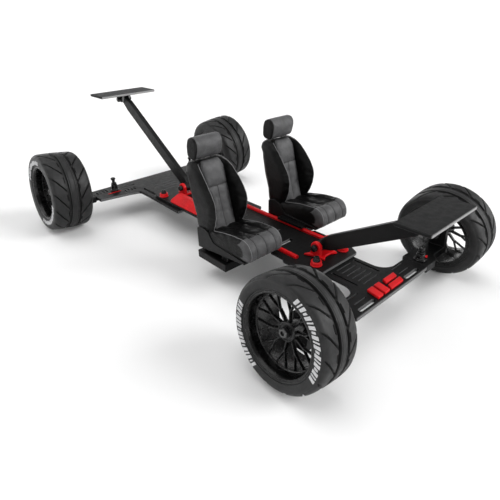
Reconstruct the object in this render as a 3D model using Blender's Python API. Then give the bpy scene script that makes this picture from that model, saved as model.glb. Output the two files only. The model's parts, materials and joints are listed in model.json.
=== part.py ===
"""Two-seat rolling chassis of a large-scale model car, built as separate pieces.

A floor plate joins two T-shaped end plates that slide along it.  Each end plate
carries two sliding axle bars, and each bar an upright, a wheel bolt and a wheel.
Two folding arms hold body platforms, four posts stand by the wheels, and two
bucket seats hang beside the floor plate on pedestals.

Lengths are in millimetres and are scaled to metres when a mesh is made.
X runs to the car's left, Y to its rear, and Z up from the ground.
"""
import math

import bmesh
import bpy
from mathutils import Matrix, Vector

MM = 0.001
GAP = 0.3                 # clearance between pieces that touch
CORNER_STEPS = 3          # segments of a small rounded corner
FINE_RADIUS = 4.0         # a corner larger than this gets more segments
ROUND_STEPS = 10          # sides of a small turned piece
WHEEL_STEPS = 24          # sides of a wheel

# Driving dimensions
MID_Y = -9.5              # middle of the wheelbase, from the origin
WHEELBASE = 433.0
FRONT_AXLE = -WHEELBASE / 2
REAR_AXLE = WHEELBASE / 2

# track_x: wheel's centre; camber: degrees that its top leans inwards
# hub_inset: hub face behind the tyre's outer face; upright_inset: upright from its inner face
FRONT_WHEEL = {"radius": 50.0, "width": 42.0, "track_x": 126.0, "camber": 9.0,
               "hub_inset": 13.0, "upright_inset": 6.0}
REAR_WHEEL = {"radius": 53.5, "width": 53.0, "track_x": 148.0, "camber": 6.5,
              "hub_inset": 15.0, "upright_inset": 10.0}
TREAD_EDGE = 10.5         # how much narrower the tread's flat is than half the tyre
UPRIGHT_THICKNESS = 6.0
RIM_SEAT_RADIUS = 35.2    # where the tyre's bead sits
RIM_LIP_RADIUS = 36.6
RIM_BARREL_RADIUS = 32.2  # inside of the barrel
SPOKES = 10
HUB_RADIUS = 9.0
BOLT_RADIUS = 2.8
BORE_RADIUS = 3.1

PLATE_LOW = 31.5          # end plates
PLATE_TOP = 35.7
FLOOR_LOW = PLATE_TOP + GAP
FLOOR_TOP = 39.2
BAR_LOW = 27.2            # axle bars, under the end plates
EDGE_CHAMFER = 0.45
GROOVE_DEPTH = 1.8

RAIL_X = 26.9
RAIL_WIDTH = 4.6
RAIL_LOW = FLOOR_TOP - 1.2
RAIL_TOP = 42.6

FRONT_CUPS = (22.5, -154.0)
REAR_CUPS = (34.0, 125.0)
CUP_RADIUS = 5.8
CUP_TOP = 44.3
SCREW_RADIUS = 2.3
HOLE_RADIUS = 2.7
SLIDE_TRAVEL = 8.0        # each way, for the end plates and outward for the axle bars

FRONT_ARM_PIVOT = (-143.0, 51.0)
FRONT_ARM_TIP = (-255.0, 114.5)
REAR_ARM_PIVOT = (110.0, 50.0)
REAR_ARM_TIP = (270.0, 155.0)
ARM_HALF_WIDTH = 3.5
ARM_DEPTH = 16.5
ARM_FOOT_RADIUS = 6.2
ARM_FOOT_HALF = 7.5
ARM_TIP_RADIUS = 5.2
EAR_THICKNESS = 4.0
LUG_THICKNESS = 3.2

FRONT_PLATFORM = {"half_width": 39.0, "front": -274.5, "rear": -241.5, "top": 124.5}
REAR_PLATFORM = {"half_width": 45.6, "front": 252.0, "rear": 293.5, "top": 165.0}
PLATFORM_THICKNESS = 3.2

FRONT_POST = (69.2, -221.0)
REAR_POST = (71.0, 208.0)
FRONT_POST_TOP = 51.0
REAR_POST_TOP = 56.5

SEAT_X = 56.7
SEAT_HALF = 26.0
SEAT_WALL = 1.7


def look(name, colour, roughness, metallic=0.0):
    """Principled material of one finish."""
    material = bpy.data.materials.get(name) or bpy.data.materials.new(name)
    material.use_nodes = True
    shader = material.node_tree.nodes["Principled BSDF"]
    shader.inputs["Base Color"].default_value = (*colour, 1.0)
    shader.inputs["Roughness"].default_value = roughness
    shader.inputs["Metallic"].default_value = metallic
    material.diffuse_color = (*colour, 1.0)
    return material


def black_plastic():
    return look("black_plastic", (0.018, 0.018, 0.019), 0.5)


def red_plastic():
    return look("red_plastic", (0.75, 0.012, 0.016), 0.4)


def rim_plastic():
    return look("rim_plastic", (0.008, 0.008, 0.008), 0.35)


def rubber():
    return look("tyre_rubber", (0.03, 0.03, 0.03), 0.75)


def steel():
    return look("dark_steel", (0.12, 0.12, 0.12), 0.4, 0.9)


def leather():
    return look("seat_leather", (0.045, 0.045, 0.046), 0.55)


# Outlines and solids

def rounded(points):
    """Closed outline; a point given as (u, v, radius) becomes an arc."""
    outline = []
    count = len(points)
    for index, point in enumerate(points):
        corner = Vector(point[:2])
        radius = point[2] if len(point) > 2 else 0.0
        if radius == 0.0:
            outline.append(corner)
            continue
        before = (Vector(points[index - 1][:2]) - corner).normalized()
        after = (Vector(points[(index + 1) % count][:2]) - corner).normalized()
        half = before.angle(after) / 2
        centre = corner + (before + after).normalized() * radius / math.sin(half)
        start = corner + before * radius / math.tan(half)
        finish = corner + after * radius / math.tan(half)
        sweep = (start - centre).angle_signed(finish - centre)
        finer = max(1.0, radius / FINE_RADIUS)
        steps = max(1, round(CORNER_STEPS * finer * abs(sweep) / (math.pi / 2)))
        for step in range(steps + 1):
            turn = Matrix.Rotation(-sweep * step / steps, 2)
            outline.append(centre + turn @ (start - centre))
    return outline


def both_sides(half):
    """Outline made of a half at +X, listed from front to rear, and its mirror."""
    mirrored = [(-point[0], *point[1:]) for point in reversed(half)]
    return rounded(list(half) + mirrored)


def circle(centre, radius, steps=ROUND_STEPS):
    turns = [2 * math.pi * (step + 0.5) / steps for step in range(steps)]
    return [Vector((centre[0] + radius * math.cos(turn), centre[1] + radius * math.sin(turn)))
            for turn in turns]


def box_outline(low, high):
    return [Vector(low), Vector((high[0], low[1])), Vector(high), Vector((low[0], high[1]))]


def slot_outline(start, finish, half_width):
    """Slot with round ends between two centres."""
    start, finish = Vector(start), Vector(finish)
    along = (finish - start).normalized()
    outline = []
    for centre, heading in ((finish, along), (start, -along)):
        for step in range(CORNER_STEPS + 1):
            turn = Matrix.Rotation(math.pi / 2 - math.pi * step / CORNER_STEPS, 2)
            outline.append(centre + turn @ heading * half_width)
    return outline


def placed(axis, u, v, w):
    """Point of a profile (u, v) at height w along the axis it is extruded on."""
    if axis == "X":
        return (w, u, v)
    if axis == "Y":
        return (u, w, v)
    return (u, v, w)


def add_prism(bm, outline, low, high, axis="Z"):
    """Extrude a closed outline between two heights."""
    verts = [bm.verts.new(placed(axis, point[0], point[1], low)) for point in outline]
    face = bm.faces.new(verts)
    top = bmesh.ops.extrude_face_region(bm, geom=[face])["geom"]
    lift = Vector(placed(axis, 0.0, 0.0, high - low))
    bmesh.ops.translate(bm, vec=lift, verts=[v for v in top if isinstance(v, bmesh.types.BMVert)])


def add_turned(bm, profile, steps=ROUND_STEPS, axis="X", centre=(0.0, 0.0, 0.0)):
    """Turn a closed profile of (along, radius) points about an axis."""
    rings = []
    for along, radius in profile:
        if radius == 0.0:
            rings.append([(along, 0.0, 0.0)])
            continue
        turns = [2 * math.pi * (step + 0.5) / steps for step in range(steps)]
        rings.append([(along, radius * math.cos(turn), radius * math.sin(turn)) for turn in turns])
    offset = Vector(centre)
    order = {"X": (0, 1, 2), "Y": (1, 0, 2), "Z": (2, 1, 0)}[axis]
    made = [[bm.verts.new(Vector([point[i] for i in order]) + offset) for point in ring]
            for ring in rings]
    hollow = profile[0][1] > 0.0
    pairs = zip(made, made[1:] + made[:1]) if hollow else zip(made, made[1:])
    for ring, following in pairs:
        for step in range(steps):
            after = (step + 1) % steps
            if len(ring) == 1:
                bm.faces.new((ring[0], following[step], following[after]))
            elif len(following) == 1:
                bm.faces.new((ring[step], following[0], ring[after]))
            else:
                bm.faces.new((ring[step], following[step], following[after], ring[after]))


def add_rod(bm, radius, low, high, axis="X", centre=(0.0, 0.0, 0.0), steps=ROUND_STEPS):
    add_turned(bm, [(low, 0.0), (low, radius), (high, radius), (high, 0.0)], steps, axis, centre)


def finished(name, bm, material=None, parent=None, at=(0.0, 0.0, 0.0), turn=0.0, smooth=False):
    """Object from a mesh drawn in millimetres, placed under its parent."""
    bmesh.ops.scale(bm, vec=(MM, MM, MM), verts=bm.verts)
    bmesh.ops.recalc_face_normals(bm, faces=bm.faces)
    mesh = bpy.data.meshes.new(name)
    bm.to_mesh(mesh)
    bm.free()
    if material:
        mesh.materials.append(material)
    if smooth:
        mesh.shade_smooth()
        mesh.set_sharp_from_angle(angle=math.radians(35))
    obj = bpy.data.objects.new(name, mesh)
    bpy.context.collection.objects.link(obj)
    obj.parent = parent
    obj.location = Vector(at) * MM
    obj.rotation_euler.z = turn
    return obj


def empty(name, parent=None, at=(0.0, 0.0, 0.0), turn=0.0):
    """Frame of a body, with its origin on the body's joint."""
    obj = bpy.data.objects.new(name, None)
    bpy.context.collection.objects.link(obj)
    obj.parent = parent
    obj.location = Vector(at) * MM
    obj.rotation_euler.z = turn
    obj.empty_display_size = 10 * MM
    return obj


def combine(obj, bm, operation):
    """Boolean of an object with a hidden tool that shares its frame."""
    tool = finished(f"{obj.name}_{operation.lower()}_tool", bm, parent=obj)
    tool.hide_render = True
    tool.display_type = "WIRE"
    modifier = obj.modifiers.new(operation.title(), "BOOLEAN")
    modifier.operation = operation
    modifier.solver = "EXACT"
    modifier.object = tool


def chamfer(obj, width=EDGE_CHAMFER, angle=50.0):
    modifier = obj.modifiers.new("Edge chamfer", "BEVEL")
    modifier.width = width * MM
    modifier.segments = 1
    modifier.limit_method = "ANGLE"
    modifier.angle_limit = math.radians(angle)


def prism(outline, low, high, axis="Z"):
    bm = bmesh.new()
    add_prism(bm, outline, low, high, axis)
    return bm


# Plates

def mirrored_slots(bm, slots, low, high):
    """Cut the same slots on both sides; each is (start, finish, half_width)."""
    for side in (-1, 1):
        for start, finish, half_width in slots:
            ends = [(side * start[0], start[1]), (side * finish[0], finish[1])]
            add_prism(bm, slot_outline(*ends, half_width), low, high)


def mirrored_grooves(bm, grooves, top):
    """Cut the same square-ended grooves on both sides; each is (low, high) in plan."""
    for side in (-1, 1):
        for low, high in grooves:
            across = sorted((side * low[0], side * high[0]))
            outline = box_outline((across[0], low[1]), (across[1], high[1]))
            add_prism(bm, outline, top - GROOVE_DEPTH, top + 2)


def cross_grooves(bm, half_length, places, width, top):
    for place in places:
        outline = box_outline((-half_length, place - width / 2), (half_length, place + width / 2))
        add_prism(bm, outline, top - GROOVE_DEPTH, top + 2)


def front_end_plate(body):
    """T-shaped plate under the front axle, with a tongue under the floor plate."""
    front, rear = -234.0, -208.0
    half = [(62, front, 1.5), (62, rear, 1.5), (25, rear, 16), (24.5, -168, 3),
            (32, -160, 3), (32, -122, 3)]
    plate = finished("front_end_plate", prism(both_sides(half), PLATE_LOW, PLATE_TOP),
                     black_plastic(), body)
    chamfer(plate)
    bm = bmesh.new()
    low, high = PLATE_LOW - 2, PLATE_TOP + 2
    cup_x, cup_y = FRONT_CUPS
    through = [((28.0, front + 5.2), (49.5, front + 5.2), 2.3),
               ((cup_x, cup_y - SLIDE_TRAVEL), (cup_x, cup_y + SLIDE_TRAVEL), HOLE_RADIUS)]
    mirrored_slots(bm, through, low, high)
    marks = [((17.7, -204), (19.9, -172)), ((29, rear - 13.6), (47, rear - 12.0)),
             ((30, rear - 4.2), (50, rear - 2.8))]
    mirrored_grooves(bm, marks, PLATE_TOP)
    cross_grooves(bm, 12.0, [-173.5 - 6.6 * step for step in range(6)], 1.3, PLATE_TOP)
    combine(plate, bm, "DIFFERENCE")


def rear_end_plate(body):
    """Wider plate under the rear axle, with long arms and a broad tongue."""
    half = [(46, 72, 2), (44, 150, 12), (44, 178, 5), (60, 183, 12), (103.5, 190, 1.5),
            (103.5, 229, 1.5)]
    plate = finished("rear_end_plate", prism(both_sides(half), PLATE_LOW, PLATE_TOP),
                     black_plastic(), body)
    chamfer(plate)
    bm = bmesh.new()
    low, high = PLATE_LOW - 2, PLATE_TOP + 2
    cup_x, cup_y = REAR_CUPS
    through = [((35, 149), (35, 183), 2.2), ((38, 212), (56, 212), 2.4),
               ((cup_x, cup_y - SLIDE_TRAVEL), (cup_x, cup_y + SLIDE_TRAVEL), HOLE_RADIUS)]
    mirrored_slots(bm, through, low, high)
    marks = [((x, 190), (x + 2, 200)) for x in (44, 49, 54, 59)]
    marks += [((x, 209), (x + 2, 221)) for x in (81, 86, 91, 96)]
    mirrored_grooves(bm, marks, PLATE_TOP)
    cross_grooves(bm, 20.0, (157, 166, 175, 184), 1.5, PLATE_TOP)
    combine(plate, bm, "DIFFERENCE")


def floor_plate(root):
    """Centre plate over both tongues, waisted between the seats."""
    half = [(29.5, -168.5, 5), (41, -146, 5), (41, -124, 1.5), (37.5, -119.5, 1.5),
            (37.5, -101, 1.5), (30.3, -97, 1.5), (30.3, -10, 1.5), (41, -3, 2), (41, 142, 6)]
    plate = finished("floor_plate", prism(both_sides(half), FLOOR_LOW, FLOOR_TOP),
                     black_plastic(), root)
    chamfer(plate)
    bm = bmesh.new()
    low, high = FLOOR_LOW - 2, FLOOR_TOP + 2
    for cups in (FRONT_CUPS, REAR_CUPS):
        for side in (-1, 1):
            add_prism(bm, circle((side * cups[0], cups[1]), HOLE_RADIUS), low, high)
    add_prism(bm, box_outline((-18, -99.5), (1, -94.0)), low, high)
    groove = RAIL_WIDTH / 2 + GAP
    for side in (-1, 1):
        centre = side * RAIL_X
        outline = box_outline((centre - groove, -131.5), (centre + groove, 47.0))
        add_prism(bm, outline, RAIL_LOW - GAP, high)
    cross_grooves(bm, 10.0, (-70, -40, -10, 20), 1.4, FLOOR_TOP)
    combine(plate, bm, "DIFFERENCE")


def side_rail(root, name, side):
    """Red rail let into the floor plate, ending in a block with a sloped outer face."""
    base = FLOOR_TOP + GAP
    length_view = [(37.0, base), (99.0, base), (99.0, base + 4.0), (92.0, 51.5), (46.0, 51.5),
                   (37.0, base + 4.5)]
    reach = sorted((side * 23.0, side * 39.6))
    rail = finished(name, prism(length_view, reach[0], reach[1], "X"), red_plastic(), root)
    section = [(22.0, base - 1), (39.6, base - 1), (39.6, base + 1.5), (30.5, 51.0), (24.5, 51.0),
               (23.0, 49.5), (22.0, 49.5)]
    combine(rail, prism([(side * u, v) for u, v in section], 30.0, 105.0, "Y"), "INTERSECT")
    low, high, half = RAIL_LOW, RAIL_TOP, RAIL_WIDTH / 2
    edge = 1.2
    bar = [(-half, low), (half, low), (half, high - edge), (half - edge, high),
           (-half + edge, high), (-half, high - edge)]
    combine(rail, prism([(RAIL_X * side + u, v) for u, v in bar], -131.0, 46.0, "Y"), "UNION")


# Axle bars and wheels

def wheel_height(wheel):
    """Height of a wheel's centre when its leaning tread stands on the inner edge of its flat."""
    lean = math.radians(wheel["camber"])
    flat = wheel["width"] / 2 - TREAD_EDGE
    return wheel["radius"] * math.cos(lean) + flat * math.sin(lean)


def leaning(wheel, along, rise):
    """X and Z of a point given in the leaning wheel's own axes."""
    lean = math.radians(wheel["camber"])
    return (wheel["track_x"] + along * math.cos(lean) - rise * math.sin(lean),
            wheel_height(wheel) + along * math.sin(lean) + rise * math.cos(lean))


def at_height(wheel, along, z):
    """Where a plane across the wheel's axis meets a height."""
    lean = math.radians(wheel["camber"])
    rise = (z - wheel_height(wheel) - along * math.sin(lean)) / math.cos(lean)
    return leaning(wheel, along, rise)


def axle_bar(body, name, wheel, front, facing):
    """Bar that slides out from under an end plate and carries the wheel's leaning upright.

    Drawn for a left wheel around the axle's line; facing is -1 where the frame is turned.
    """
    if front:
        inner, shoulder, neck = 16.0, 62.3, 90.0
        block, tongue = (-17.0, 12.3), (-3.0, 7.5)
    else:
        inner, shoulder, neck = 34.0, 103.8, 118.0
        block, tongue = (-12.0, 12.0), (-7.5, 9.0)
    upright = wheel["upright_inset"] - wheel["width"] / 2
    face = upright + UPRIGHT_THICKNESS
    neck_half, crown = 9.5, 9.0
    foot = at_height(wheel, face, BAR_LOW)
    end, top = foot[0], leaning(wheel, upright, crown)[1]
    side_view = [(inner, BAR_LOW), foot, leaning(wheel, face, crown),
                 leaning(wheel, upright, crown), at_height(wheel, upright, PLATE_TOP),
                 (shoulder, PLATE_TOP), (shoulder, PLATE_LOW - GAP), (inner, PLATE_LOW - GAP)]
    plan = [(inner, tongue[0]), (shoulder, tongue[0]), (shoulder, block[0], 1.5),
            (neck - 8, block[0], 4), (neck, -neck_half, 4), (end, -neck_half),
            (end, neck_half), (neck, neck_half, 4), (neck - 8, block[1], 4),
            (shoulder, block[1], 1.5), (shoulder, tongue[1]), (inner, tongue[1])]
    plan = [(point[0], facing * point[1], *point[2:]) for point in plan]
    bar = finished(name, prism(side_view, -20.0, 20.0, "Y"), black_plastic(), body)
    combine(bar, prism(rounded(plan), BAR_LOW - 1, top + 3), "INTERSECT")
    chamfer(bar, 0.35)
    bm = bmesh.new()
    add_rod(bm, BORE_RADIUS, upright - 3, face + 3)
    lean = Matrix.Rotation(-math.radians(wheel["camber"]), 3, "Y")
    bmesh.ops.rotate(bm, verts=bm.verts, matrix=lean)
    bmesh.ops.translate(bm, verts=bm.verts, vec=(wheel["track_x"], 0.0, wheel_height(wheel)))
    combine(bar, bm, "DIFFERENCE")


def wheel_bolt(body, name, wheel):
    """Bolt through the hub and upright, with a ringed hexagon head."""
    inner = wheel["upright_inset"] - wheel["width"] / 2 - 4.0
    face = wheel["width"] / 2 - wheel["hub_inset"] + GAP
    bm = bmesh.new()
    add_rod(bm, BOLT_RADIUS, inner, face + 1)
    bolt = finished(name, bm, steel(), body, smooth=True)
    head = bmesh.new()
    add_turned(head, [(face, 0.0), (face, 4.6), (face + 3.2, 4.6), (face + 4.0, 3.8),
                      (face + 4.0, 2.3), (face + 2.0, 2.3), (face + 2.0, 0.0)], 6)
    combine(bolt, head, "UNION")


def polar(radius, degrees):
    return (radius * math.cos(math.radians(degrees)), radius * math.sin(math.radians(degrees)))


def rim(body, name, wheel):
    """Deep dish rim with forked spokes, turned about its own X axis."""
    outer = wheel["width"] / 2
    hub_face = outer - wheel["hub_inset"]
    hub_back = -outer + wheel["upright_inset"] + UPRIGHT_THICKNESS + GAP
    web = 5.0
    web_hub, web_rim = hub_face - 7.0, hub_face - 3.0
    profile = [(hub_back, BORE_RADIUS), (hub_back, 6.5), (web_hub, HUB_RADIUS),
               (web_rim, RIM_BARREL_RADIUS), (-outer + 2.2, RIM_BARREL_RADIUS + 0.8),
               (-outer + 2.2, RIM_LIP_RADIUS), (-outer + 4.2, RIM_SEAT_RADIUS),
               (outer - 4.2, RIM_SEAT_RADIUS), (outer - 1.6, RIM_LIP_RADIUS),
               (outer - 2.6, RIM_BARREL_RADIUS + 0.6), (web_rim + web, RIM_BARREL_RADIUS),
               (web_hub + web, HUB_RADIUS), (hub_face, HUB_RADIUS - 0.8),
               (hub_face, BORE_RADIUS)]
    bm = bmesh.new()
    add_turned(bm, profile, WHEEL_STEPS)
    piece = finished(name, bm, rim_plastic(), body, smooth=True)
    step = 360.0 / SPOKES
    fork, barrel = 21.5, RIM_BARREL_RADIUS - 1.2
    windows = bmesh.new()
    for index in range(SPOKES):
        middle = step * index
        between = [polar(11.8, middle + 7.5), polar(fork, middle + 4.6), polar(barrel, middle + 11.1),
                   polar(barrel, middle + step - 11.1), polar(fork, middle + step - 4.6),
                   polar(11.8, middle + step - 7.5)]
        inside = [polar(fork + 3.0, middle), polar(barrel, middle + 6.9), polar(barrel, middle - 6.9)]
        for outline in (between, inside):
            add_prism(windows, outline, web_hub - 6, web_rim + web + 6, "X")
    combine(piece, windows, "DIFFERENCE")


def tyre(body, name, wheel):
    """Low belted tyre around the rim, with a flat foot under the axle."""
    half = wheel["width"] / 2
    radius = wheel["radius"] / math.cos(math.pi / WHEEL_STEPS)
    bead = RIM_SEAT_RADIUS + GAP
    lip = RIM_LIP_RADIUS + GAP
    side = [(half - 4.6, bead), (half - 4.6, lip + 0.3), (half - 1.0, lip + 0.6),
            (half, radius - 5.5), (half - 2.6, radius - 1.5), (half - TREAD_EDGE, radius)]
    profile = side + [(-along, height) for along, height in reversed(side)]
    bm = bmesh.new()
    add_turned(bm, profile, WHEEL_STEPS)
    finished(name, bm, rubber(), body, smooth=True)


def corner_assembly(end_body, corner, front, left):
    """Axle bar, bolt, wheel and body post of one corner; a right corner is turned round."""
    wheel = FRONT_WHEEL if front else REAR_WHEEL
    axle = FRONT_AXLE if front else REAR_AXLE
    facing = 1 if left else -1
    bar_body = empty(f"axle_frame_{corner}", end_body, (0.0, axle, 0.0), 0.0 if left else math.pi)
    axle_bar(bar_body, f"axle_bar_{corner}", wheel, front, facing)
    upright_body = empty(f"upright_frame_{corner}", bar_body,
                         (wheel["track_x"], 0.0, wheel_height(wheel)))
    upright_body.rotation_euler.y = -math.radians(wheel["camber"])
    wheel_bolt(upright_body, f"wheel_bolt_{corner}", wheel)
    wheel_body = empty(f"wheel_frame_{corner}", upright_body)
    rim(wheel_body, f"rim_{corner}", wheel)
    tyre(wheel_body, f"tyre_{corner}", wheel)
    base = PLATE_TOP + GAP
    if front:
        at = (FRONT_POST[0], facing * (FRONT_POST[1] - axle), base)
        body_post(bar_body, corner, at, FRONT_POST_TOP - base)
    else:
        body_post(end_body, corner, (facing * REAR_POST[0], REAR_POST[1], base),
                  REAR_POST_TOP - base)


# Posts, clamps and arms

def body_post(body, corner, at, tall):
    """Clamp base on a flange, and the capped post that slides in it."""
    height = tall * 0.5
    bm = bmesh.new()
    add_turned(bm, [(0.0, HOLE_RADIUS), (0.0, 6.4), (1.6, 6.4), (2.2, 4.6), (height - 0.8, 4.6),
                    (height, 3.9), (height, HOLE_RADIUS)], ROUND_STEPS, "Z")
    finished(f"post_base_{corner}", bm, black_plastic(), body, at, smooth=True)
    bm = bmesh.new()
    collar = height + 0.6
    cap = tall - 3.2
    add_turned(bm, [(0.6, 0.0), (0.6, SCREW_RADIUS), (collar, SCREW_RADIUS), (collar, 3.8),
                    (collar + 1.8, 3.8), (collar + 2.2, SCREW_RADIUS), (cap - 0.6, SCREW_RADIUS),
                    (cap, 3.4), (tall - 0.8, 3.4), (tall, 2.4), (tall, 0.0)], ROUND_STEPS, "Z")
    finished(f"body_post_{corner}", bm, black_plastic(), body, at, smooth=True)


def clamp(root, place, at):
    """Red cup on the floor plate, and the screw that clamps an end plate to it."""
    bm = bmesh.new()
    base = FLOOR_TOP + GAP
    add_turned(bm, [(base, HOLE_RADIUS), (base, CUP_RADIUS), (CUP_TOP - 0.6, CUP_RADIUS),
                    (CUP_TOP, CUP_RADIUS - 0.6), (CUP_TOP, HOLE_RADIUS)], 16, "Z")
    finished(f"clamp_cup_{place}", bm, red_plastic(), root, (*at, 0.0), smooth=True)
    body = empty(f"clamp_frame_{place}", root, (*at, 0.0))
    bm = bmesh.new()
    knob = CUP_TOP + GAP
    add_turned(bm, [(PLATE_LOW - 2.6, 0.0), (PLATE_LOW - 2.6, 4.6), (PLATE_LOW - GAP, 4.6),
                    (PLATE_LOW - GAP, SCREW_RADIUS), (knob, SCREW_RADIUS), (knob, 4.0),
                    (knob + 3.6, 4.0), (knob + 4.4, 3.2), (knob + 4.4, 0.0)], ROUND_STEPS, "Z")
    finished(f"clamp_screw_{place}", bm, black_plastic(), body, smooth=True)


def arm_bracket(root, name, pivot, toward):
    """Red clevis: a star-shaped foot and two arched ears; toward is +1 or -1 along Y."""
    centre_y, centre_z = pivot
    base = FLOOR_TOP + GAP
    tips = [(17.5, -11.5, 0.6), (12.2, 0.0, 3.0), (10.5, 12.5, 0.6)]
    notch = (0.0, 7.0, 2.0)
    back = (0.0, -6.5, 2.0)
    right = [back] + tips + [notch]
    left = [(-u, *rest) for u, *rest in reversed(tips)]
    outline = [(point[0], centre_y + toward * point[1], *point[2:]) for point in right + left]
    foot = finished(name, prism(rounded(outline), base, base + 2.4), red_plastic(), root)
    inner = ARM_FOOT_HALF + GAP
    arch_radius = 6.5
    arch = [(centre_y - arch_radius, base + 0.8)]
    for step in range(9):
        turn = math.pi * step / 8
        arch.append((centre_y - arch_radius * math.cos(turn), centre_z + arch_radius * math.sin(turn)))
    arch.append((centre_y + arch_radius, base + 0.8))
    ears = bmesh.new()
    for side in (-1, 1):
        faces = sorted((side * inner, side * (inner + EAR_THICKNESS)))
        add_prism(ears, arch, faces[0], faces[1], "X")
    combine(foot, ears, "UNION")
    bore = bmesh.new()
    reach = inner + EAR_THICKNESS + 2
    add_rod(bore, HOLE_RADIUS, -reach, reach, "X", (0, centre_y, centre_z))
    combine(foot, bore, "DIFFERENCE")


def arm(chassis, name, pivot, tip):
    """Flat bar between a foot boss at the bracket and a round tip at the platform."""
    body = empty(f"{name}_frame", chassis, (0.0, *pivot))
    reach = Vector((tip[0] - pivot[0], tip[1] - pivot[1]))
    along = reach.normalized()
    across = Vector((-along.y, along.x))
    half = ARM_DEPTH / 2
    neck = reach - along * 17.0
    foot = along * 13.0
    outline = [across * 3.0 - along * ARM_FOOT_RADIUS,
               foot * 0.35 + across * ARM_FOOT_RADIUS * 0.98, foot + across * half,
               neck + across * half, reach + across * ARM_TIP_RADIUS]
    for step in range(1, 6):
        turn = Matrix.Rotation(-math.pi * step / 6, 2)
        outline.append(reach + turn @ across * ARM_TIP_RADIUS)
    outline += [reach - across * ARM_TIP_RADIUS, neck - across * half, foot - across * half,
                foot * 0.35 - across * ARM_FOOT_RADIUS * 0.98,
                across * -3.0 - along * ARM_FOOT_RADIUS]
    bar = finished(name, prism(outline, -ARM_HALF_WIDTH, ARM_HALF_WIDTH, "X"), black_plastic(), body)
    chamfer(bar, 0.4)
    boss = bmesh.new()
    add_rod(boss, ARM_FOOT_RADIUS, -ARM_FOOT_HALF, ARM_FOOT_HALF, "X", steps=16)
    combine(bar, boss, "UNION")
    bore = bmesh.new()
    add_rod(bore, HOLE_RADIUS, -ARM_FOOT_HALF - 2, ARM_FOOT_HALF + 2)
    add_rod(bore, HOLE_RADIUS, -ARM_HALF_WIDTH - 2, ARM_HALF_WIDTH + 2, "X", (0, *reach))
    combine(bar, bore, "DIFFERENCE")
    return body, reach


def thumb_screw(parent, name, at, half_grip, winged):
    """Cross screw: a knob on the right-hand end, which may be winged, and a nut on the left."""
    body = empty(f"{name}_frame", parent, at)
    face = half_grip + GAP
    bm = bmesh.new()
    ends = [(-face - 3.0, 0.0), (-face - 3.0, 3.8), (-face, 3.8), (-face, SCREW_RADIUS),
            (face, SCREW_RADIUS), (face, 4.0), (face + 3.8, 4.0), (face + 4.6, 3.2),
            (face + 4.6, 0.0)]
    add_turned(bm, [(-along, radius) for along, radius in ends])
    screw = finished(name, bm, black_plastic(), body, smooth=True)
    if winged:
        outline = [(-6.2, -1.3, 0.8), (6.2, -1.3, 0.8), (6.2, 1.3, 0.8), (-6.2, 1.3, 0.8)]
        combine(screw, prism(rounded(outline), -face - 6.0, -face - 1.0, "X"), "UNION")


def platform(arm_body, name, size, pivot, reach):
    """Thin plate on two lugs that straddle the arm's tip."""
    body = empty(f"{name}_frame", arm_body, (0.0, *reach))
    tip = Vector((pivot[0] + reach[0], pivot[1] + reach[1]))
    front, rear = size["front"] - tip.x, size["rear"] - tip.x
    top = size["top"] - tip.y
    low = top - PLATFORM_THICKNESS
    half = size["half_width"]
    outline = rounded([(-half, front, 1.5), (half, front, 1.5), (half, rear, 1.5),
                       (-half, rear, 1.5)])
    plate = finished(name, prism(outline, low, top), black_plastic(), body)
    chamfer(plate, 0.5)
    lugs = bmesh.new()
    inner = ARM_HALF_WIDTH + GAP
    radius = 5.0
    arch = [(radius + 3.0, low + 1.0), (radius, 0.0)]
    arch += [(radius * math.cos(turn), -radius * math.sin(turn))
             for turn in (math.pi / 4, math.pi / 2, 3 * math.pi / 4)]
    arch += [(-radius, 0.0), (-radius - 3.0, low + 1.0)]
    for side in (-1, 1):
        faces = sorted((side * inner, side * (inner + LUG_THICKNESS)))
        add_prism(lugs, arch, faces[0], faces[1], "X")
    combine(plate, lugs, "UNION")
    bore = bmesh.new()
    grip = inner + LUG_THICKNESS
    add_rod(bore, HOLE_RADIUS, -grip - 2, grip + 2)
    combine(plate, bore, "DIFFERENCE")
    thumb_screw(body, f"{name}_screw", (0.0, 0.0, 0.0), grip, True)


# Seats

def seat_floor(y):
    """Height of the seat frame's sloped underside."""
    return 35.0 + (y + 28.0) * (43.8 - 35.0) / (-108.0 + 28.0)


def seat(root, side, name):
    """Bucket seat on a pedestal that reaches under the floor plate."""
    centre = side * SEAT_X
    pedestal_box = prism(box_outline((SEAT_X - SEAT_HALF + 9.0, -78.0), (SEAT_X + 28.0, -28.0)),
                         22.0, 31.6)
    bmesh.ops.scale(pedestal_box, vec=(side, 1, 1), verts=pedestal_box.verts)
    pedestal = finished(f"seat_pedestal_{name}", pedestal_box, black_plastic(), root)
    chamfer(pedestal, 0.6)
    arms = bmesh.new()
    add_prism(arms, [(side * u, v) for u, v in box_outline((15.0, -68.0), (45.0, -38.0))],
              31.0, FLOOR_LOW - GAP)
    combine(pedestal, arms, "UNION")
    posts = bmesh.new()
    for rear, front in ((-32.0, -42.0), (-64.0, -74.0)):
        top = [(front, 31.0), (rear, 31.0), (rear, seat_floor(rear) - GAP),
               (front, seat_floor(front) - GAP)]
        span = sorted((side * 50.0, side * 78.0))
        add_prism(posts, top, span[0], span[1], "X")
    combine(pedestal, posts, "UNION")
    seat_frame(root, f"seat_frame_{name}", centre)
    cushion(root, f"seat_cushion_{name}", centre)
    backrest(root, f"seat_back_{name}", centre)
    headrest(root, f"headrest_{name}", centre)


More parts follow.
